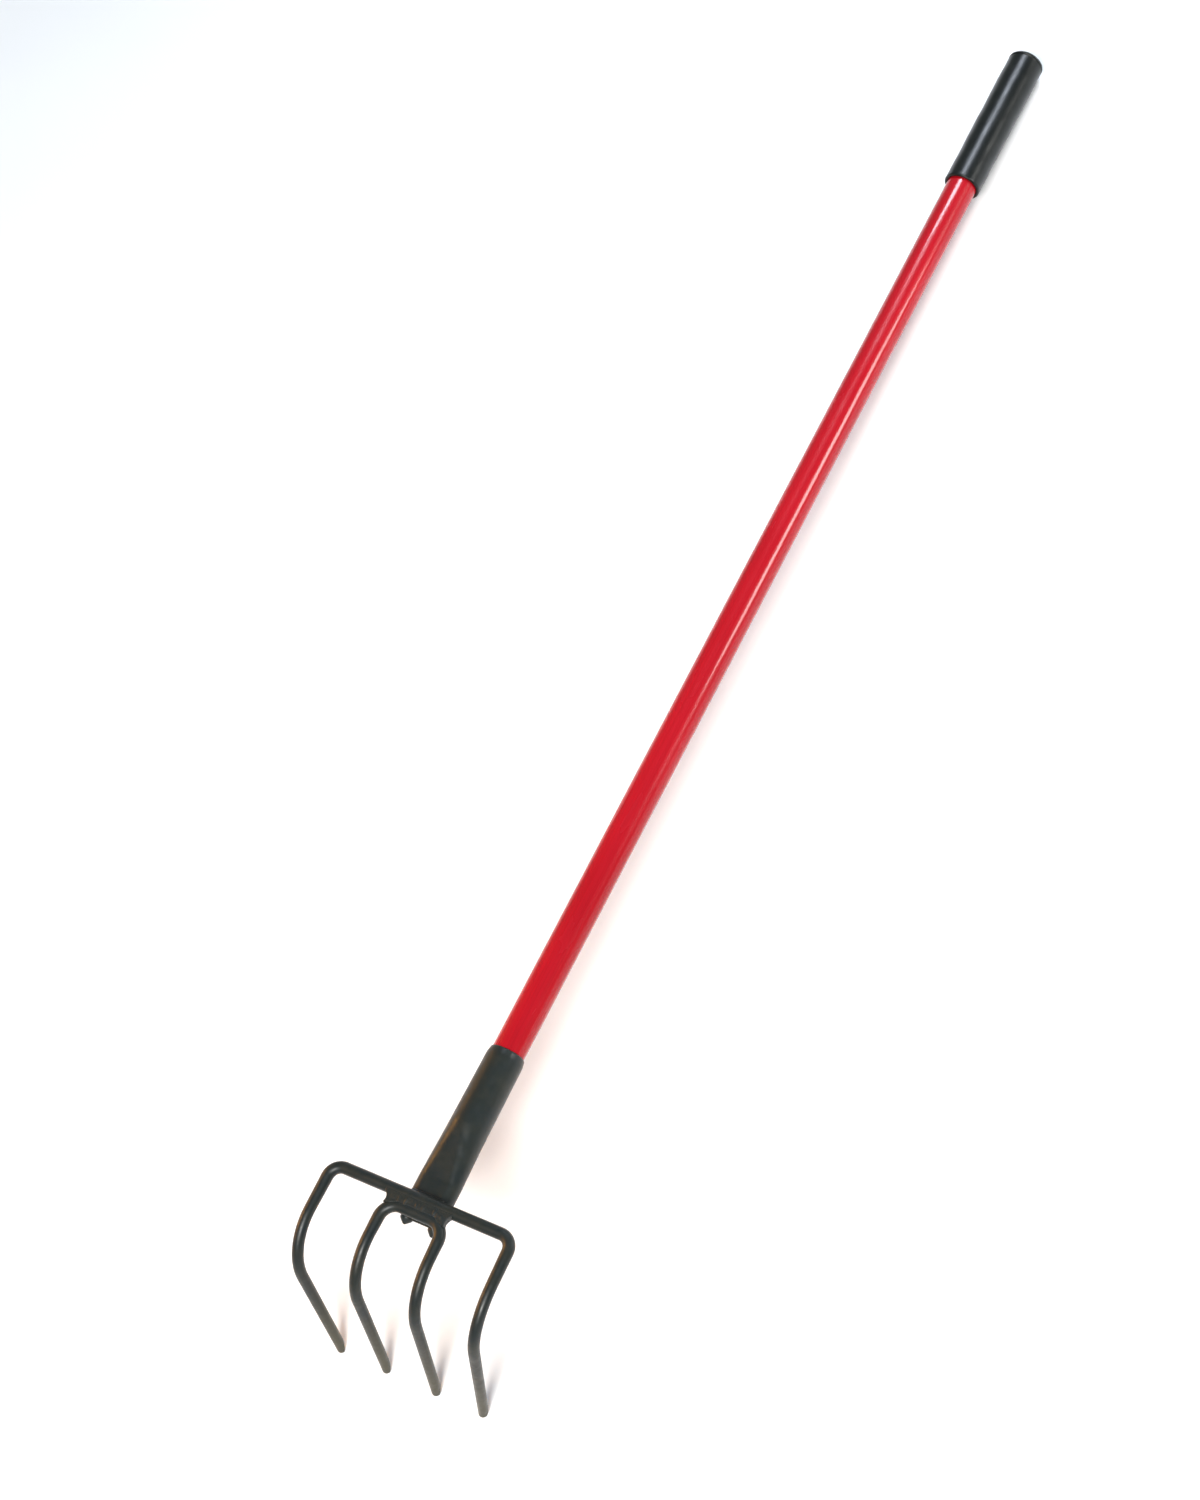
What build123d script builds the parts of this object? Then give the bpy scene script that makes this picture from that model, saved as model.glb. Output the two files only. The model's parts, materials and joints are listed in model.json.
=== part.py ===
"""Four-tine hook fork: a welded steel head on a straight fibreglass handle with a vinyl grip.

The tool lies as it is put down on a floor: on its four tine tips and on the end of its grip.
+X runs from the head to the grip and +Z is up. The origin is on the floor, under the middle of
the tool's overall box.

Most shapes are drawn in the plane named tool, which follows the handle's axis. In its
coordinates x runs across the head, y points from the handle to the side that the tips point
to, and z runs along the handle, from the outer crossbar at zero up to the grip.
"""

import os
from math import cos, radians, sin, sqrt

from build123d import *

os.makedirs("parts", exist_ok=True)

# ---- driving dimensions, mm ----

# handle
handle_diameter = 31.75  # one and a quarter inches
handle_wall = 3.2
handle_start = 84.0  # lower end of the tube, inside the ferrule
core_length = 150.0  # dowel that backs the tube where the ferrule grips it

# grip
grip_diameter = 38.9
grip_start = 1200.0
grip_end = 1376.0
grip_end_wall = 4.0
grip_edge_radius = 7.0
grip_crown_radius = 150.0  # of the slightly domed end face
grip_mouth_radius = 0.8

# ferrule: a tube, swaged in at its mouth and pressed flat at its toe
ferrule_wall = 1.8
mouth_wall = 0.8
mouth_z, mouth_diameter = 158.0, 33.9
crimp_z, crimp_diameter = 151.0, 36.5
shoulder_z, shoulder_diameter = 80.0, 38.0
flat_z, flat_width, flat_thickness = 25.0, 43.0, 20.0
toe_z = -15.5

# tines
bar_radius = 5.8  # crossbars
leg_radius = 5.45  # from the corners to the bends
tip_radius = 4.8
corner_radii = (13.0, 16.0)  # centre lines, outer and inner bar
bend_radius = 55.5
inner_bar_z = -12.5  # the inner crossbar, below the outer one
corner_half_widths = (95.8, 31.3)
bend_half_widths = (97.1, 32.6)
tip_half_widths = (77.0, 27.0)
leg_drop = 2.9  # how far the first legs slope towards the tips before the bend
bend_z = -87.0
tip_drop, tip_z = 153.5, -127.8  # the second leg's line, carried on below the floor
bevel_angle = 22.0  # between the chisel cut and the tine's axis
bevel_offset = -2.0  # from the tine's axis to the chisel cut, at the floor, towards the grip
tip_edge_radius = 1.0

# welds
seam_half_length = 20.0
seam_height = 5.55  # above the crossbars' centre lines
crotch_reach = 35.5  # where a crotch weld ends on the outer crossbar
crotch_waist = 31.5
crotch_foot = (32.5, -15.5)  # where it ends on the inner bar's corner, across and z
bead_leg = 3.4
toe_weld_radius = 6.2
toe_weld_y = -3.0
toe_weld_places = ((-12.0, 1.8), (18.0, 3.4))  # across, and below the ferrule's toe

# blind rivet in the ferrule's hidden side
rivet_z = 122.0
rivet_radius = 2.4
rivet_head_radius = 4.8
rivet_head_height = 1.4
rivet_length = 11.0
mandrel_radius = 1.35

# how the tool lies
tilt = 4.7  # slope of the handle, degrees
crossbar_x = -615.4  # puts the origin under the middle of the overall box

# ---- derived sizes and planes ----

handle_radius = handle_diameter / 2
grip_radius = grip_diameter / 2
grip_rim_z = grip_end - grip_crown_radius + sqrt(grip_crown_radius**2 - grip_radius**2)
tube_end = grip_rim_z - grip_end_wall
bar_y = -(flat_thickness / 2 + bar_radius)  # crossbars rest on the ferrule's flat face

# the grip touches the floor where its rounded edge is lowest
edge_centre_r = grip_radius - grip_edge_radius
edge_centre_z = (
    grip_end - grip_crown_radius + sqrt((grip_crown_radius - grip_edge_radius) ** 2 - edge_centre_r**2)
)
axis_height = edge_centre_z * sin(radians(tilt)) + edge_centre_r * cos(radians(tilt)) + grip_edge_radius

tool = Plane(
    origin=(crossbar_x, 0, axis_height),
    x_dir=(0, -1, 0),
    z_dir=(cos(radians(tilt)), 0, -sin(radians(tilt))),
)
handle_axis = Axis(tool.origin, tool.z_dir)
middle = Plane(origin=tool.origin, x_dir=tool.y_dir, z_dir=tool.x_dir)  # y and z of tool
profile = Plane(origin=tool.origin, x_dir=tool.x_dir, z_dir=-tool.y_dir)  # x and z of tool


def spot(x, y, z):
    """A point given in the tool plane's coordinates."""
    return tool.from_local_coords(Vector(x, y, z))


# ---- handle ----

with BuildPart() as rivet_hole:
    with BuildSketch(Plane(origin=spot(0, 0, rivet_z), x_dir=tool.x_dir, z_dir=tool.y_dir)):
        Circle(rivet_radius)
    extrude(amount=2 * grip_radius)

with BuildPart() as handle_tube:
    with BuildSketch(tool.offset(handle_start)):
        Circle(handle_radius)
        Circle(handle_radius - handle_wall, mode=Mode.SUBTRACT)
    extrude(amount=tube_end - handle_start)
    add(rivet_hole.part, mode=Mode.SUBTRACT)
handle_tube.part.label = "handle_tube"
export_step(handle_tube.part, "parts/handle_tube.step")

with BuildPart() as handle_core:
    with BuildSketch(tool.offset(handle_start)):
        Circle(handle_radius - handle_wall)
    extrude(amount=core_length)
    with BuildSketch(Plane(origin=spot(0, handle_radius, rivet_z), x_dir=tool.x_dir, z_dir=-tool.y_dir)):
        Circle(rivet_radius)
    extrude(amount=rivet_length, mode=Mode.SUBTRACT)
handle_core.part.label = "handle_core"
export_step(handle_core.part, "parts/handle_core.step")

with BuildPart() as end_grip:
    with BuildSketch(middle) as grip_profile:
        with BuildLine():
            Polyline(
                (0, grip_end),
                (0, tube_end),
                (handle_radius, tube_end),
                (handle_radius, grip_start),
                (grip_radius, grip_start),
                (grip_radius, grip_rim_z),
            )
            RadiusArc((0, grip_end), (grip_radius, grip_rim_z), grip_crown_radius)
        make_face()
        mouth_corner, rim_corner = grip_profile.vertices().sort_by(Axis.X)[-2:].sort_by(Axis.Y)
        fillet(rim_corner, radius=grip_edge_radius)
        fillet(mouth_corner, radius=grip_mouth_radius)
    revolve(axis=handle_axis)
end_grip.part.label = "end_grip"
export_step(end_grip.part, "parts/end_grip.step")

# ---- ferrule ----


def tube_section(z, width, thickness, wall):
    """Sketch of the tube where it is pressed to a width and a thickness, inside a wall."""
    with BuildSketch(tool.offset(z)) as section:
        SlotOverall(max(width, thickness + round_flat) - 2 * wall, thickness - 2 * wall)
    return section.sketch


round_flat = 0.02  # a round section is drawn with flats this long, so that it lofts to a flat one
stations = (
    (toe_z, flat_width, flat_thickness),
    (flat_z, flat_width, flat_thickness),
    (shoulder_z, shoulder_diameter, shoulder_diameter),
    (crimp_z, crimp_diameter, crimp_diameter),
    (mouth_z, mouth_diameter, mouth_diameter),
)
bore_mouth = mouth_diameter + 2 * (ferrule_wall - mouth_wall)
bore_stations = stations[:-1] + ((mouth_z, bore_mouth, bore_mouth),)

with BuildPart() as ferrule_bore:
    loft([tube_section(*station, ferrule_wall) for station in bore_stations], ruled=True)

with BuildPart() as ferrule:
    loft([tube_section(*station, 0) for station in stations], ruled=True)
    add(ferrule_bore.part, mode=Mode.SUBTRACT)
    add(rivet_hole.part, mode=Mode.SUBTRACT)
ferrule.part.label = "ferrule"
export_step(ferrule.part, "parts/ferrule.step")

with BuildPart() as ferrule_adhesive:
    with BuildSketch(tool.offset(handle_start)):
        Circle(shoulder_diameter)
    extrude(amount=crimp_z - handle_start - 3)
    add(ferrule_bore.part, mode=Mode.INTERSECT)
    with BuildSketch(tool.offset(handle_start)):
        Circle(handle_radius)
    extrude(amount=crimp_z - handle_start, mode=Mode.SUBTRACT)
    add(rivet_hole.part, mode=Mode.SUBTRACT)
ferrule_adhesive.part.label = "ferrule_adhesive"
export_step(ferrule_adhesive.part, "parts/ferrule_adhesive.step")

# ---- blind rivet ----

rivet_axis = Axis(spot(0, 0, rivet_z), tool.y_dir)
rivet_side = Plane(origin=spot(0, 0, rivet_z), x_dir=tool.z_dir, z_dir=-tool.x_dir)
rivet_seat = shoulder_diameter / 2  # a little above the ferrule's surface
rivet_tail = handle_radius - rivet_length + 1

with BuildPart() as rivet_body:
    with BuildSketch(rivet_side):
        with BuildLine():
            Polyline(
                (mandrel_radius, rivet_tail + 1.5),
                (mandrel_radius, rivet_seat + rivet_head_height),
            )
            ThreePointArc(
                (mandrel_radius, rivet_seat + rivet_head_height),
                (0.75 * rivet_head_radius, rivet_seat + 0.62 * rivet_head_height),
                (rivet_head_radius, rivet_seat - 0.4),
            )
            Polyline(
                (rivet_head_radius, rivet_seat - 0.4),
                (rivet_head_radius, rivet_seat - 1.2),
                (rivet_radius, rivet_seat - 1.2),
                (rivet_radius, rivet_tail + 1.5),
                (mandrel_radius, rivet_tail + 1.5),
            )
        make_face()
    revolve(axis=rivet_axis)
    add(ferrule.part, mode=Mode.SUBTRACT)
rivet_body.part.label = "rivet_body"
export_step(rivet_body.part, "parts/rivet_body.step")

with BuildPart() as rivet_mandrel:
    with BuildSketch(rivet_side):
        with BuildLine():
            Polyline(
                (0, rivet_tail),
                (rivet_radius - 0.3, rivet_tail),
                (rivet_radius - 0.3, rivet_tail + 1.5),
                (mandrel_radius, rivet_tail + 1.5),
                (mandrel_radius, rivet_seat + rivet_head_height - 0.3),
                (0, rivet_seat + rivet_head_height - 0.3),
                (0, rivet_tail),
            )
        make_face()
    revolve(axis=rivet_axis)
rivet_mandrel.part.label = "rivet_mandrel"
export_step(rivet_mandrel.part, "parts/rivet_mandrel.step")

# ---- tine bars ----


def tine_bar(bar_z, corner_radius, corner_half, bend_half, tip_half):
    """One rod bent into a crossbar and two tines, cut off level with the floor."""
    with BuildPart() as bar:
        with BuildLine(tool) as route:
            FilletPolyline(
                (0, bar_y, bar_z),
                (corner_half, bar_y, bar_z),
                (bend_half, bar_y + leg_drop, bend_z),
                (tip_half, tip_drop, tip_z),
                radius=[corner_radius, bend_radius],
            )
        line = route.wire()
        runs = line.edges().sort_by(line)
        radii = [bar_radius, bar_radius, bar_radius, leg_radius, leg_radius, tip_radius]
        for run, start_radius, end_radius in zip(runs, radii, radii[1:]):
            with BuildSketch(run ^ 0):
                Circle(start_radius)
            if start_radius == end_radius:
                sweep(path=run)
            else:
                with BuildSketch(run ^ 1):
                    Circle(end_radius)
                loft()

        # the chisel cut faces the handle
        along = (runs[4] % 1).normalized()
        end = runs[4] @ 1
        at_floor = end - along * (end.Z / along.Z)
        towards_grip = (tool.z_dir - along * tool.z_dir.dot(along)).normalized()
        lean = radians(bevel_angle)
        facing = towards_grip * cos(lean) + along * sin(lean)
        with BuildSketch(Plane(origin=at_floor + towards_grip * bevel_offset, z_dir=facing)):
            Rectangle(8 * tip_radius, 8 * tip_radius)
        extrude(amount=2 * tip_radius, mode=Mode.SUBTRACT)
        split(bisect_by=Plane.XY, keep=Keep.TOP)
        fillet(edges().group_by(Axis.Z)[0], radius=tip_edge_radius)
        mirror(about=middle)
    return bar


outer_tine_bar = tine_bar(
    0, corner_radii[0], corner_half_widths[0], bend_half_widths[0], tip_half_widths[0]
)
outer_tine_bar.part.label = "outer_tine_bar"
export_step(outer_tine_bar.part, "parts/outer_tine_bar.step")

inner_tine_bar = tine_bar(
    inner_bar_z, corner_radii[1], corner_half_widths[1], bend_half_widths[1], tip_half_widths[1]
)
inner_tine_bar.part.label = "inner_tine_bar"
export_step(inner_tine_bar.part, "parts/inner_tine_bar.step")

# ---- welds ----

weld_top = profile.offset(-bar_y)  # level with the crossbars' centre lines

with BuildPart() as seam_weld:
    with BuildSketch(weld_top):
        with Locations((0, inner_bar_z / 2)):
            Rectangle(2 * seam_half_length, -inner_bar_z)
    extrude(amount=seam_height)
    add(outer_tine_bar.part, mode=Mode.SUBTRACT)
    add(inner_tine_bar.part, mode=Mode.SUBTRACT)
seam_weld.part.label = "seam_weld"
export_step(seam_weld.part, "parts/seam_weld.step")

for name, side in (("left_crotch_weld", -1), ("right_crotch_weld", 1)):
    with BuildPart() as crotch_weld:
        with BuildSketch(weld_top.offset(-2)):
            with BuildLine():
                Polyline(
                    (side * crotch_reach, -bar_radius + 1),
                    (side * crotch_reach, 0),
                    (side * seam_half_length, 0),
                    (side * seam_half_length, inner_bar_z),
                    (side * crotch_foot[0], crotch_foot[1]),
                )
                ThreePointArc(
                    (side * crotch_foot[0], crotch_foot[1]),
                    (side * crotch_waist, (crotch_foot[1] - bar_radius) / 2),
                    (side * crotch_reach, -bar_radius + 1),
                )
            make_face()
        extrude(amount=seam_height + 2)
        add(outer_tine_bar.part, mode=Mode.SUBTRACT)
        add(inner_tine_bar.part, mode=Mode.SUBTRACT)
    crotch_weld.part.label = name
    export_step(crotch_weld.part, f"parts/{name}.step")

with BuildPart() as ferrule_weld:
    face_y = -flat_thickness / 2
    with BuildSketch(middle):
        Polygon(
            (face_y, 0),
            (face_y, bar_radius + bead_leg),
            (face_y - bead_leg, bar_radius),
            (face_y - bar_radius, 0),
            align=None,
        )
    extrude(amount=seam_half_length - 3, both=True)
    add(outer_tine_bar.part, mode=Mode.SUBTRACT)
    add(ferrule.part, mode=Mode.SUBTRACT)
ferrule_weld.part.label = "ferrule_weld"
export_step(ferrule_weld.part, "parts/ferrule_weld.step")

for name, (across, drop) in zip(("left_toe_weld", "right_toe_weld"), toe_weld_places):
    with BuildPart() as toe_weld:
        with Locations(spot(across, toe_weld_y, toe_z - drop)):
            Sphere(toe_weld_radius, rotation=(0, 0, 180))  # its seam stays clear of the cuts
        add(inner_tine_bar.part, mode=Mode.SUBTRACT)
        add(ferrule.part, mode=Mode.SUBTRACT)
    toe_weld.part.label = name
    export_step(toe_weld.part, f"parts/{name}.step")
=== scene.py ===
"""Looks for a four-tine hook fork: an enamelled steel head on a red fibreglass handle with a vinyl grip.

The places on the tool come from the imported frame. They are worked out in the tool's own axes: x
across the head, y from the handle to the side that the tips point to, and z along the handle from
the outer crossbar up to the grip. Lengths are in metres.
"""

import json
import math
import random

import bmesh
import bpy
from mathutils import Matrix, Vector, noise


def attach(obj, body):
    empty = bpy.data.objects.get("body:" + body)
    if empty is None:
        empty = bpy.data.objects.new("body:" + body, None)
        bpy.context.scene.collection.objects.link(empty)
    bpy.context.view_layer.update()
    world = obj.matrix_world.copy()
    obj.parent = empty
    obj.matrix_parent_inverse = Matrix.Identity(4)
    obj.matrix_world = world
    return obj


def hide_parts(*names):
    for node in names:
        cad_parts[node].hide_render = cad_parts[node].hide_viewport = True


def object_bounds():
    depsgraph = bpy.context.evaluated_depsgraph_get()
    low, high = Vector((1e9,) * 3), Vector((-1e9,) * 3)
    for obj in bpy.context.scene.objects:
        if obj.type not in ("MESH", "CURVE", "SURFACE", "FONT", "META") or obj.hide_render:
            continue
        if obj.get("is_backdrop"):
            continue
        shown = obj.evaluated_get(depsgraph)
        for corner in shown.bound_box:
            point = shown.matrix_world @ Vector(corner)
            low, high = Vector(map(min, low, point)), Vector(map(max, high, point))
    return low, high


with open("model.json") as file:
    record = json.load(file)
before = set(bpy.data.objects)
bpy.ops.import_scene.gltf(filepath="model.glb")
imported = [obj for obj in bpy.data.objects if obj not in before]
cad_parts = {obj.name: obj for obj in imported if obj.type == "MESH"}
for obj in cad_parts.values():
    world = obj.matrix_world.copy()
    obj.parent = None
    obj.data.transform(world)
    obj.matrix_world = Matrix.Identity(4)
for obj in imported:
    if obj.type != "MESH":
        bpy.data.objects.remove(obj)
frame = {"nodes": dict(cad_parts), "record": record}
cad_low, cad_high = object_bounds()
MM = 0.001

# ---- the tool's axes, from the record's mounts ----

mounts = {m["name"]: m for m in frame["record"]["mounts"]}
along = Vector(mounts["grip_sleeve"]["axis"]).normalized()
on_axis = Vector(mounts["grip_sleeve"]["pos_m"])
bar_side = Vector(mounts["crossbar_hanger"]["pos_m"])
across = Vector((0, -1, 0))
towards = along.cross(across)
origin = on_axis + along * (bar_side - on_axis).dot(along)
to_frame = Matrix.Translation(origin) @ Matrix((across, towards, along)).transposed().to_4x4()
to_tool = to_frame.inverted()


def tool_box(node):
    """Lowest and highest corner of a CAD node in the tool's axes."""
    points = [to_tool @ v.co for v in frame["nodes"][node].data.vertices]
    low = Vector(min(p[i] for p in points) for i in range(3))
    high = Vector(max(p[i] for p in points) for i in range(3))
    return low, high


# ---- node materials ----


class Paint:
    """A Principled material whose textures run in the tool's axes."""

    def __init__(self, name, roughness, **sockets):
        self.material = bpy.data.materials.new(name)
        self.material.use_nodes = True
        self.tree = self.material.node_tree
        self.shader = self.tree.nodes["Principled BSDF"]
        self.shader.inputs["Roughness"].default_value = roughness
        for socket, value in sockets.items():
            self.shader.inputs[socket.replace("_", " ")].default_value = value
        place = self.node("ShaderNodeTexCoord")
        turn = self.node("ShaderNodeMapping", vector_type="TEXTURE")
        turn.inputs["Location"].default_value = to_frame.to_translation()
        turn.inputs["Rotation"].default_value = to_frame.to_euler()
        self.link(place.outputs["Object"], turn.inputs["Vector"])
        self.place = turn.outputs["Vector"]

    def node(self, kind, **settings):
        made = self.tree.nodes.new(kind)
        for key, value in settings.items():
            setattr(made, key, value)
        return made

    def link(self, a, b):
        self.tree.links.new(a, b)

    def noise(self, scale, stretch=(1, 1, 1), detail=3.0, roughness=0.5, distortion=0.0):
        """Noise with scale features to the metre, squeezed by stretch along each of the tool's axes."""
        fit = self.node("ShaderNodeMapping")
        fit.inputs["Scale"].default_value = stretch
        self.link(self.place, fit.inputs["Vector"])
        made = self.node("ShaderNodeTexNoise")
        made.inputs["Scale"].default_value = scale
        made.inputs["Detail"].default_value = detail
        made.inputs["Roughness"].default_value = roughness
        made.inputs["Distortion"].default_value = distortion
        self.link(fit.outputs["Vector"], made.inputs["Vector"])
        return made.outputs["Fac"]

    def ramp(self, value, stops):
        """A colour or grey ramp: stops are (place, colour or number)."""
        made = self.node("ShaderNodeValToRGB")
        elements = made.color_ramp.elements
        while len(elements) < len(stops):
            elements.new(0.5)
        for element, (where, colour) in zip(elements, stops):
            element.position = where
            element.color = (*colour, 1) if hasattr(colour, "__len__") else (colour, colour, colour, 1)
        self.link(value, made.inputs["Fac"])
        return made.outputs["Color"]

    def mix(self, share, first, second, how="MIX"):
        made = self.node("ShaderNodeMix", data_type="RGBA", blend_type=how)
        for socket, value in zip((made.inputs[0], made.inputs[6], made.inputs[7]), (share, first, second)):
            if isinstance(value, bpy.types.NodeSocket):
                self.link(value, socket)
            else:
                socket.default_value = (*value, 1) if hasattr(value, "__len__") else value
        return made.outputs[2]

    def math(self, how, first, second):
        made = self.node("ShaderNodeMath", operation=how)
        for socket, value in zip(made.inputs, (first, second)):
            if isinstance(value, bpy.types.NodeSocket):
                self.link(value, socket)
            else:
                socket.default_value = value
        return made.outputs[0]

    def part(self, axis):
        """One coordinate in the tool's axes: 0 across, 1 towards the tips, 2 along the handle."""
        made = self.node("ShaderNodeSeparateXYZ")
        self.link(self.place, made.inputs[0])
        return made.outputs[axis]

    def colour(self, socket):
        self.link(socket, self.shader.inputs["Base Color"])

    def roughness(self, socket):
        self.link(socket, self.shader.inputs["Roughness"])

    def bump(self, *layers):
        """Bump from (height, depth in metres) layers, the coarsest first."""
        normal = None
        for height, depth in layers:
            made = self.node("ShaderNodeBump")
            made.inputs["Strength"].default_value = 1.0
            made.inputs["Distance"].default_value = depth
            self.link(height, made.inputs["Height"])
            if normal:
                self.link(normal, made.inputs["Normal"])
            normal = made.outputs["Normal"]
        self.link(normal, self.shader.inputs["Normal"])


def fibreglass():
    """Pigmented resin over lengthwise glass fibres, with a slightly wavy gloss skin."""
    p = Paint("fibreglass_red", 0.2, Coat_Weight=0.25, Coat_Roughness=0.05, Specular_IOR_Level=0.2)
    cloud = p.noise(9, (1, 1, 0.5))
    fibres = p.noise(900, (1, 1, 0.012), detail=5, roughness=0.7)
    base = p.ramp(cloud, [(0.3, (0.34, 0.003, 0.008)), (0.7, (0.42, 0.005, 0.012))])
    streak = p.ramp(fibres, [(0.35, (0.86, 0.8, 0.8)), (0.6, (1, 1, 1))])
    p.colour(p.mix(1.0, base, streak, "MULTIPLY"))
    p.roughness(p.ramp(p.noise(60, (1, 1, 0.2)), [(0.3, 0.2), (0.7, 0.3)]))
    p.bump((p.noise(70, (1, 1, 0.55), detail=1), 0.00022), (fibres, 0.00002))
    return p.material


def vinyl():
    """Dipped vinyl: near black and satin, with a fine grain and a few rubbed places."""
    p = Paint("grip_vinyl", 0.32, Specular_IOR_Level=0.28)
    rubbed = p.noise(55, detail=6, roughness=0.65)
    p.colour(p.ramp(rubbed, [(0.4, (0.004, 0.005, 0.004)), (0.75, (0.009, 0.01, 0.008))]))
    p.roughness(p.ramp(rubbed, [(0.35, 0.3), (0.75, 0.38)]))
    p.bump((p.noise(120, (1, 1, 0.6), detail=1), 0.0001), (p.noise(2600, detail=2), 0.000025))
    return p.material


def enamel(name, lumps, dull=0.0):
    """Dark olive enamel with orange peel, scratches in patches, and the tine ends painted a lighter khaki
    as a painted reflection.
    """
    p = Paint(name, 0.3, Specular_IOR_Level=0.4)
    tone = p.ramp(
        p.noise(45, detail=5, roughness=0.6),
        [(0.3, (0.006, 0.011, 0.012)), (0.55, (0.011, 0.014, 0.011)), (0.75, (0.017, 0.018, 0.012))],
    )
    scratch = p.noise(1100, (1, 0.35, 0.05), detail=6, roughness=0.75, distortion=0.6)
    scratched = p.ramp(scratch, [(0.66, 0), (0.74, 1)])
    handled = p.ramp(p.noise(60, detail=2), [(0.52, 0), (0.68, 1)])
    worn = p.math("MULTIPLY", scratched, handled)
    # Painted reflection: towards the tips the enamel is painted a lighter khaki, standing in for the light
    # the second legs catch.
    painted_light_share = p.ramp(p.part(1), [(0.045, 0), (0.12, 1)])
    painted_light_tone = p.mix(painted_light_share, tone, (0.046, 0.043, 0.026))
    p.colour(p.mix(worn, painted_light_tone, (0.07, 0.068, 0.058)))
    p.roughness(p.ramp(p.noise(160, detail=4), [(0.3, 0.34 + dull), (0.7, 0.48 + dull)]))
    p.bump((p.noise(150, detail=2), lumps), (p.noise(1300, detail=2), 0.00003))
    return p.material


def plain(name, low, high, scale, roughness, metal=0.0, stretch=(1, 1, 1)):
    """Two tones of one colour in a grain, for the pieces that hardly show."""
    p = Paint(name, roughness, Metallic=metal)
    grain = p.noise(scale, stretch, detail=6, roughness=0.65)
    p.colour(p.ramp(grain, [(0.35, low), (0.68, high)]))
    p.bump((grain, 0.00005))
    return p.material


red = fibreglass()
grip_vinyl = vinyl()
head_paint = enamel("head_paint", 0.00018)
weld_paint = enamel("weld_paint", 0.0003, dull=0.05)
wood = plain("dowel_wood", (0.33, 0.19, 0.09), (0.56, 0.38, 0.2), 420, 0.6, stretch=(1, 1, 0.03))
resin = plain("adhesive_resin", (0.4, 0.37, 0.3), (0.55, 0.52, 0.44), 300, 0.5)
steel = plain("mandrel_steel", (0.32, 0.32, 0.32), (0.52, 0.51, 0.5), 900, 0.35, metal=1.0)

carried = {
    "handle_tube": red,
    "handle_core": wood,
    "ferrule_adhesive": resin,
    "rivet_body": head_paint,
    "rivet_mandrel": steel,
    "outer_tine_bar": head_paint,
    "inner_tine_bar": head_paint,
}
for node, material in carried.items():
    mesh = frame["nodes"][node].data
    mesh.materials.clear()
    mesh.materials.append(material)


def add_piece(name, mesh, material, slot, *nodes):
    """Shows a mesh, given in the row frame, in place of the CAD nodes."""
    piece = bpy.data.objects.new(name, mesh)
    bpy.context.scene.collection.objects.link(piece)
    mesh.materials.clear()
    mesh.materials.append(material)
    for face in mesh.polygons:
        face.use_smooth = True
    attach(piece, "root")
    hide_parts(*nodes)
    return piece


def skin(rings):
    """A mesh through rings of points given in the tool's axes; a ring of one point closes an end."""
    bm = bmesh.new()
    rows = [[bm.verts.new(to_frame @ Vector(p)) for p in ring] for ring in rings]
    for a, b in zip(rows, rows[1:]):
        count = max(len(a), len(b))
        for i in range(count):
            j = (i + 1) % count
            corners = [a[i % len(a)], a[j % len(a)], b[j % len(b)], b[i % len(b)]]
            face = list(dict.fromkeys(corners))
            if len(face) > 2:
                bm.faces.new(face)
    bmesh.ops.recalc_face_normals(bm, faces=bm.faces)
    mesh = bpy.data.meshes.new("skin")
    bm.to_mesh(mesh)
    bm.free()
    return mesh


def arc(centre, radius, start, end, steps):
    """Points (r, z) on an arc, angles in degrees from the r axis."""
    turns = [math.radians(start + (end - start) * i / steps) for i in range(steps + 1)]
    return [(centre[0] + radius * math.cos(t), centre[1] + radius * math.sin(t)) for t in turns]


def smooth(t):
    """Eases a share from 0 to 1, and holds it there outside that range."""
    t = max(0.0, min(1.0, t))
    return t * t * (3 - 2 * t)


# ---- grip: a lathe form with a rolled mouth and a domed end ----

grip_low, grip_high = tool_box("end_grip")
grip_radius = grip_high.x
tube_radius = tool_box("handle_tube")[1].x
grip_lip = 1.6 * MM
grip_edge = 5 * MM
grip_dome = 0.8 * MM
grip_sides = 128
grip_steps = 90
cap_steps = 8


def grip_outline():
    """Points (r, z): inside the mouth, round its lip, up the slightly swelling side, over the end."""
    bore = tube_radius - 0.1 * MM
    lip_z = grip_low.z + grip_lip
    outline = [(bore, grip_low.z + 3 * MM), (bore, lip_z)]
    outline += arc((tube_radius + grip_lip * 0.8, lip_z), grip_lip * 0.85, 180, 260, 4)
    outline += arc((grip_radius - grip_lip - 0.05 * MM, lip_z), grip_lip, 275, 350, 6)
    side_start = grip_low.z + 2 * grip_lip
    side_length = grip_high.z - grip_dome - grip_edge - grip_low.z - 2 * grip_lip
    for i in range(grip_steps + 1):
        z = side_start + side_length * i / grip_steps
        swell = 0.12 * MM * math.sin(z * 95) + 0.08 * MM * math.sin(z * 211 + 1)
        outline.append((grip_radius - 0.22 * MM + swell, z))
    edge_centre = (grip_radius - grip_edge - 0.1 * MM, grip_high.z - grip_dome - grip_edge)
    outline += arc(edge_centre, grip_edge, 0, 82, 12)
    cap_radius = grip_radius - grip_edge
    for i in range(1, cap_steps + 1):
        r = cap_radius * (1 - i / cap_steps)
        outline.append((r, grip_high.z - grip_dome * (r / cap_radius) ** 2))
    return outline


def grip_ring(r, z):
    """A ring of the grip: true inside the mouth, and a little out of round outside it."""
    if r < 1e-6:
        return [(0, 0, z)]
    ring = []
    for k in range(grip_sides):
        a = 2 * math.pi * k / grip_sides
        wave = noise.noise(Vector((math.cos(a) * 1.2, math.sin(a) * 1.2, z * 22))) * 0.12 * MM
        reach = r if r <= tube_radius else r + (wave - 0.1 * MM)
        ring.append((reach * math.cos(a), reach * math.sin(a), z))
    return ring


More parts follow.
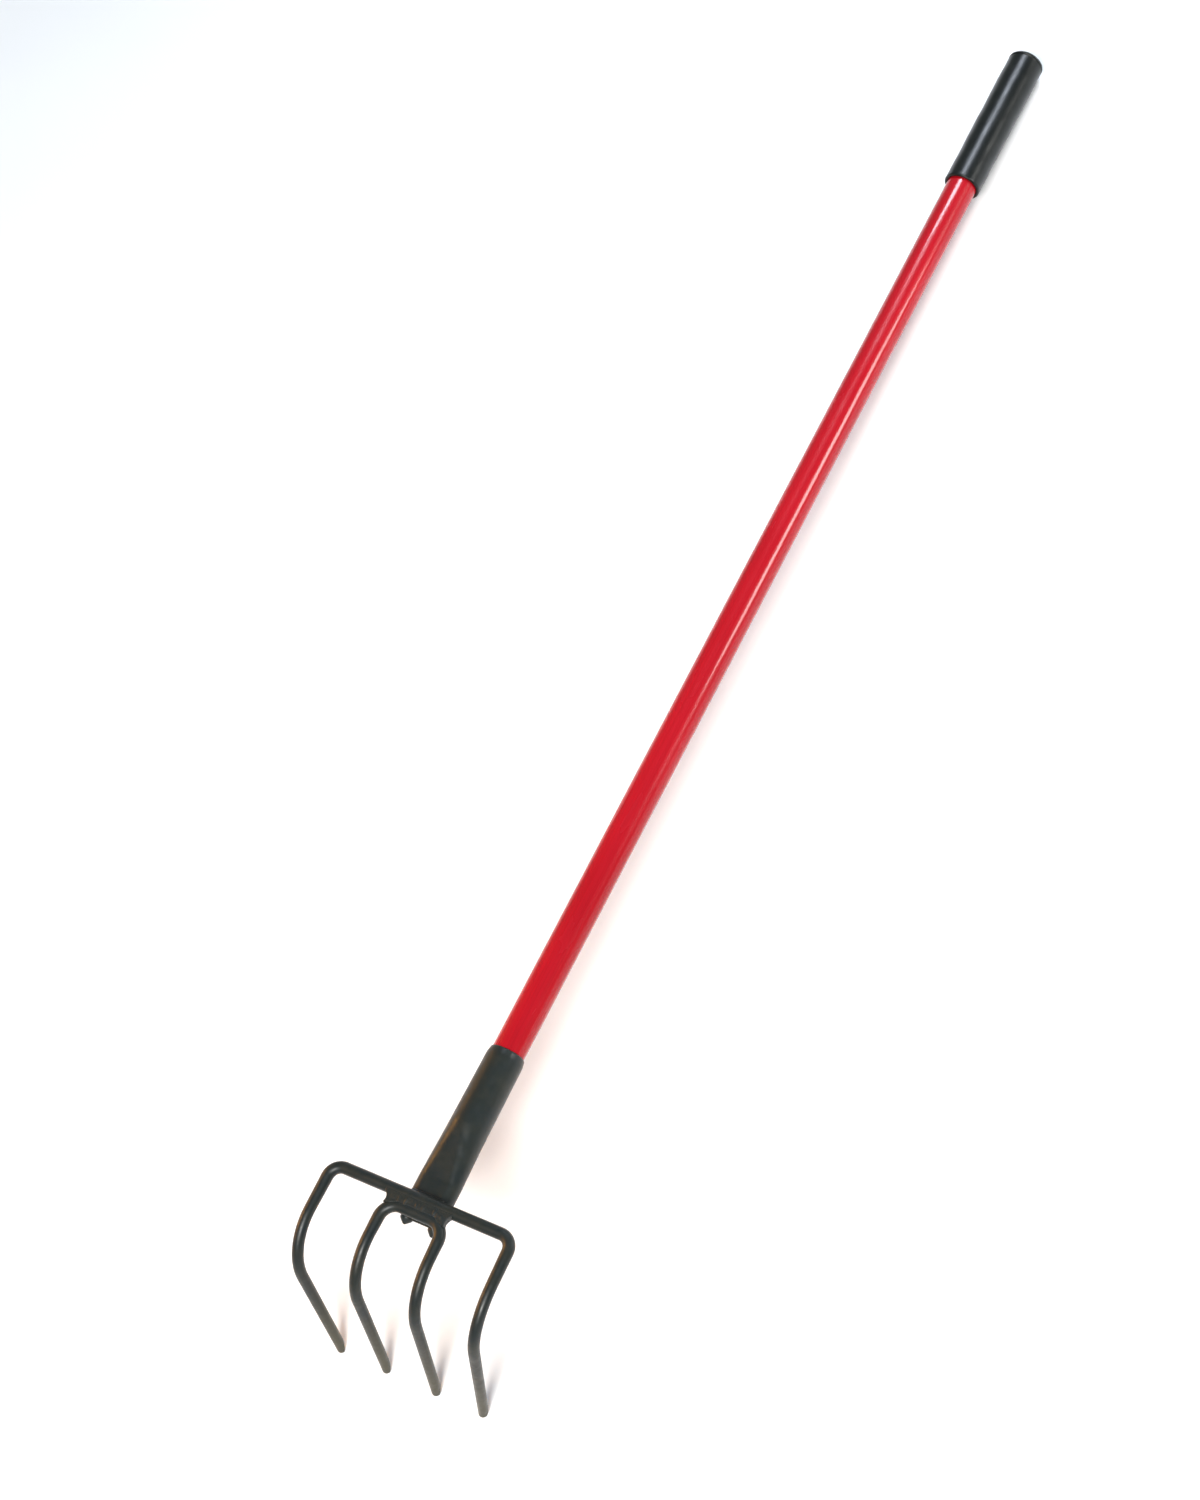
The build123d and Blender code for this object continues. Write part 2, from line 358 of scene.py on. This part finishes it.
rings = [grip_ring(r, z) for r, z in grip_outline()]
add_piece("grip_skin", skin(rings), grip_vinyl, "grip_vinyl", "end_grip")

# ---- ferrule: pressed flat at the toe, swaged in at the mouth ----

ferrule_low, ferrule_high = tool_box("ferrule")
points = [to_tool @ v.co for v in frame["nodes"]["ferrule"].data.vertices]
ferrule_wall = 1.8 * MM
shoulder_z = ferrule_low.z + 95.5 * MM
flat_z = ferrule_low.z + 40.5 * MM
crimp_z = ferrule_high.z - 7 * MM
toe_half_thickness = max(p.y for p in points if p.z < ferrule_low.z + 1 * MM)
shoulder_radius = max(p.y for p in points)
crimp_radius = max(p.x for p in points if abs(p.z - crimp_z) < 1 * MM)
mouth_radius = max(p.x for p in points if p.z > ferrule_high.z - 0.2 * MM)
toe_flat = ferrule_high.x - toe_half_thickness
round_flat = 0.01 * MM
half_round_steps = 48
flat_steps = 12
ferrule_steps = 110
mouth_steps = 6


def tube_ring(z, radius, flat, inset=0.0):
    """A ring of the pressed tube: two half rounds joined by flats."""
    r = radius - inset
    ring = []
    for side in (1, -1):
        for i in range(half_round_steps + 1):
            a = math.radians(90 - 180 * i / half_round_steps)
            ring.append((side * (flat + r * math.cos(a)), side * r * math.sin(a), z))
        for i in range(1, flat_steps):
            ring.append((side * (flat - 2 * flat * i / flat_steps), -side * r, z))
    return ring


def ferrule_size(z):
    """Radius of the round sides and half width of the flats, where the tube is at height z."""
    if z >= shoulder_z:
        share = (z - shoulder_z) / (crimp_z - shoulder_z)
        return shoulder_radius + (crimp_radius - shoulder_radius) * min(1.0, share), round_flat
    share = min(1.0, (shoulder_z - z) / (shoulder_z - flat_z))
    eased = share + 0.02 * math.sin(math.pi * share)
    radius = shoulder_radius + (toe_half_thickness - shoulder_radius) * eased
    return radius, max(round_flat, toe_flat * share)


def ferrule_rings():
    """Rings from inside the toe, round its rim, up the outside and a little way into the mouth."""
    inner_z = ferrule_low.z + 40 * MM
    rim_z = ferrule_low.z + 0.7 * MM
    toe = ferrule_size(ferrule_low.z)
    rings = [tube_ring(inner_z, *ferrule_size(inner_z), ferrule_wall), tube_ring(rim_z, *toe, ferrule_wall)]
    for inset, rise in ((1.4, 0.2), (0.9, 0.0), (0.4, 0.12), (0.1, 0.45)):
        rings.append(tube_ring(ferrule_low.z + rise * MM, *toe, inset * MM))
    for i in range(ferrule_steps + 1):
        z = rim_z + (crimp_z - rim_z) * i / ferrule_steps
        rings.append(tube_ring(z, *ferrule_size(z), 0.03 * MM))
    for i in range(1, mouth_steps + 1):
        share = i / mouth_steps
        z = crimp_z + (ferrule_high.z - 0.4 * MM - crimp_z) * share
        radius = crimp_radius + (mouth_radius - crimp_radius) * (share**1.25)
        rings.append(tube_ring(z, radius, round_flat))
    rings.append(tube_ring(ferrule_high.z - 0.05 * MM, mouth_radius - 0.35 * MM, round_flat))
    for depth in (0.1, 12):
        rings.append(tube_ring(ferrule_high.z - depth * MM, tube_radius + 0.1 * MM, round_flat))
    return rings


add_piece("ferrule_shell", skin(ferrule_rings()), head_paint, "head_paint", "ferrule")

# ---- welds: each CAD weld with beads of its own melted over it ----

rng = random.Random(7)
weld_unevenness = 0.16 * MM


def jitter(amount):
    return Vector([rng.uniform(-amount, amount) for _ in range(3)])


def melt(name, node, beads, voxel=0.42 * MM, passes=6):
    """The CAD weld and its beads, (centre, radii) in the tool's axes, remeshed into one skin."""
    bm = bmesh.new()
    bm.from_mesh(frame["nodes"][node].data)
    bmesh.ops.remove_doubles(bm, verts=bm.verts, dist=0.002 * MM)
    for centre, radii in beads:
        size = Matrix.Diagonal((*radii, 1))
        matrix = to_frame @ Matrix.Translation(centre) @ size
        bmesh.ops.create_icosphere(bm, subdivisions=3, radius=1, matrix=matrix)
    mesh = bpy.data.meshes.new(name)
    bm.to_mesh(mesh)
    bm.free()
    maker = bpy.data.objects.new(name + "_maker", mesh)
    bpy.context.scene.collection.objects.link(maker)
    remesh = maker.modifiers.new("remesh", "REMESH")
    remesh.mode = "VOXEL"
    remesh.voxel_size = voxel
    smoother = maker.modifiers.new("smooth", "SMOOTH")
    smoother.iterations = passes
    smoother.factor = 0.5
    bpy.context.view_layer.update()
    shaped = maker.evaluated_get(bpy.context.evaluated_depsgraph_get())
    made = bpy.data.meshes.new_from_object(shaped)
    bpy.data.objects.remove(maker)
    for v in made.vertices:
        v.co += v.normal * weld_unevenness * noise.noise(v.co * 420)
    return made


def spaced(low_x, high_x, count):
    """The middles of count equal lengths between two places."""
    return [low_x + (high_x - low_x) * (i + 0.5) / count for i in range(count)]


low, high = tool_box("seam_weld")
seam_top = low.y
seam_z = (low.z + high.z) / 2
beads = []
for x in spaced(low.x, high.x, 17):
    centre = Vector((x, seam_top + 1.75 * MM, seam_z)) + jitter(0.35 * MM)
    beads.append((centre, (2.3 * MM, 1.95 * MM, 5.0 * MM)))
add_piece("seam_bead", melt("seam_bead", "seam_weld", beads), weld_paint, "weld_paint", "seam_weld")

# The crotch beads carry the seam on outwards, and get shorter as they go.
for side, node in ((-1, "left_crotch_weld"), (1, "right_crotch_weld")):
    beads = []
    for i in range(6):
        x = side * (18 + 2.1 * i) * MM
        z = seam_z - 0.5 * i * MM
        centre = Vector((x, seam_top + 2.2 * MM, z)) + jitter(0.45 * MM)
        beads.append((centre, (2.5 * MM, 2.4 * MM, (4.6 - 0.25 * i) * MM)))
    add_piece(node + "_bead", melt(node + "_bead", node, beads), weld_paint, "weld_paint", node)

low, high = tool_box("ferrule_weld")
beads = []
for x in spaced(low.x, high.x, 13):
    centre = Vector((x, (low.y + high.y) / 2 + 0.6 * MM, low.z + 3.4 * MM)) + jitter(0.3 * MM)
    beads.append((centre, (1.9 * MM, 2.4 * MM, 2.4 * MM)))
made = melt("ferrule_bead", "ferrule_weld", beads, voxel=0.35 * MM, passes=4)
add_piece("ferrule_bead", made, weld_paint, "weld_paint", "ferrule_weld")

# The toe welds narrow to a drop where they hang clear of the crossbar.
for node in ("left_toe_weld", "right_toe_weld"):
    low, high = tool_box(node)
    centre = (low + high) / 2
    beads = []
    for i in range(4):
        beads.append((centre + jitter(1.3 * MM), (4.6 * MM, 4.2 * MM, 3.6 * MM)))
    made = melt(node + "_bead", node, beads, passes=4)
    for v in made.vertices:
        p = to_tool @ v.co
        hang = smooth((centre.z - p.z) / (centre.z - low.z))
        p.x = centre.x + (p.x - centre.x) * (1 - 0.45 * hang)
        p.y = centre.y + (p.y - centre.y) * (1 - 0.4 * hang)
        v.co = to_frame @ p
    add_piece(node + "_bead", made, weld_paint, "weld_paint", node)

# ---- floor, light and camera ----

floor_half_width = 14.0
bm = bmesh.new()
bmesh.ops.create_grid(bm, x_segments=2, y_segments=2, size=floor_half_width)
mesh = bpy.data.meshes.new("floor")
bm.to_mesh(mesh)
bm.free()
floor = bpy.data.objects.new("floor", mesh)
bpy.context.scene.collection.objects.link(floor)
floor.location.z = cad_low.z - 0.2 * MM
pale = Paint("pale_floor", 0.9)
pale.colour(pale.ramp(pale.noise(3, detail=2), [(0.3, (0.86, 0.86, 0.86)), (0.7, (0.88, 0.88, 0.88))]))
mesh.materials.append(pale.material)
floor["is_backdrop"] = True

world = bpy.data.worlds.new("studio")
bpy.context.scene.world = world
world.use_nodes = True
sky = world.node_tree
sky_place = sky.nodes.new("ShaderNodeTexCoord")
sky_height = sky.nodes.new("ShaderNodeSeparateXYZ")
sky_ramp = sky.nodes.new("ShaderNodeValToRGB")
sky_stops = ((0.0, (0.3, 0.3, 0.3, 1)), (0.6, (0.2, 0.27, 0.34, 1)))
for element, (height, colour) in zip(sky_ramp.color_ramp.elements, sky_stops):
    element.position = height
    element.color = colour
sky.links.new(sky_place.outputs["Generated"], sky_height.inputs[0])
sky.links.new(sky_height.outputs["Z"], sky_ramp.inputs["Fac"])
sky.links.new(sky_ramp.outputs["Color"], sky.nodes["Background"].inputs["Color"])
sky.nodes["Background"].inputs["Strength"].default_value = 1.0

middle = (cad_low + cad_high) / 2


def softbox(name, offset, size, power, colour=(1, 1, 1), aim=(0, 0, 0), spread=180):
    """An area light at an offset from the tool's middle, facing aim, another such offset."""
    data = bpy.data.lights.new(name, "AREA")
    data.shape = "RECTANGLE"
    data.size, data.size_y = size
    data.energy = power
    data.spread = math.radians(spread)
    data.color = colour
    lamp = bpy.data.objects.new(name, data)
    bpy.context.scene.collection.objects.link(lamp)
    lamp.location = middle + Vector(offset)
    facing = Vector(aim) - Vector(offset)
    lamp.rotation_euler = facing.to_track_quat("-Z", "Y").to_euler()


softbox("key", (-3.2, -1.4, 4.8), (2.0, 2.0), 430, (1.0, 0.98, 0.95))
softbox("warm_left", (-0.75, 1.7, 0.75), (1.3, 0.35), 2.8, (1.0, 0.47, 0.11), aim=(-0.55, 0, 0), spread=50)
softbox("far_strip", (2.7, 0.2, 2.4), (1.1, 0.5), 6.2, (0.8, 0.87, 1.0), aim=(0.72, 0, 0), spread=50)
softbox("side_window", (1.38, -1.95, 0.9), (0.75, 0.75), 3.9, aim=(0.3, 0, 0), spread=60)
softbox("warm_rim", (-0.9, 0.9, 0.3), (0.8, 0.35), 1.3, (1.0, 0.4, 0.12), aim=(-0.6, 0, 0))

# The camera stands beside the head and looks down across the tool, which runs up to the right.
camera_data = bpy.data.cameras.new("camera")
camera = bpy.data.objects.new("camera", camera_data)
bpy.context.scene.collection.objects.link(camera)
bpy.context.scene.camera = camera
view_line = Vector((0.27274, 0.42231, -0.86445)).normalized()
view_up = Vector((0.8657, 0.28428, 0.41201))
view_right = view_line.cross(view_up).normalized()
view_up = view_right.cross(view_line)
camera.location = middle + Vector((-0.882, -1.0771, 2.3491))
camera.rotation_euler = Matrix((view_right, view_up, -view_line)).transposed().to_euler()
camera_data.sensor_fit = "AUTO"
camera_data.sensor_width = 36
focal_length_in_frame_heights = 1.8714
camera_data.lens = camera_data.sensor_width * focal_length_in_frame_heights
camera_data.clip_start = 0.05
camera_data.clip_end = 60

bpy.context.scene.view_settings.view_transform = "Standard"

low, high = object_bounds()
